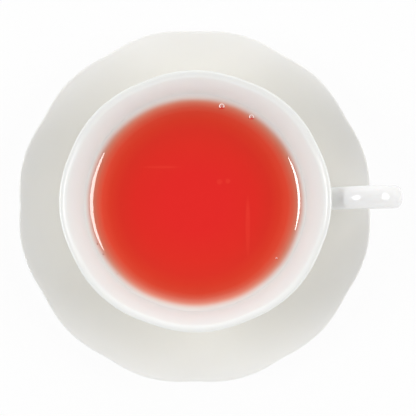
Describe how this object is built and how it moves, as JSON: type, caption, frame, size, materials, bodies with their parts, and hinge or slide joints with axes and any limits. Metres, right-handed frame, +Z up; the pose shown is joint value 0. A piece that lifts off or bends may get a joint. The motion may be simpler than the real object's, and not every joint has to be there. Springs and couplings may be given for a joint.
{
  "type": "cup of tea",
  "caption": "Filled porcelain teacup with a looped handle, standing in its scalloped saucer.",
  "frame": {"origin": "centre of the saucer's foot ring, on the surface that it stands on", "axes": "+Z up out of the cup; +X towards the cup's handle; +Y to the left of the handle seen from the cup"},
  "size_m": [0.1564, 0.1482, 0.0655],
  "materials": {
    "saucer_china": "white bone china under a clear gloss glaze, bare and matt on the foot ring's toe",
    "cup_china": "white bone china under a clear gloss glaze, bare and matt on the foot ring's toe",
    "tea": "clear red infusion over white china, paler where it thins out at the wall"
  },
  "bodies": {
    "root": {"saucer": "saucer_china", "cup": "cup_china", "tea": "tea"}
  },
  "joints": []
}
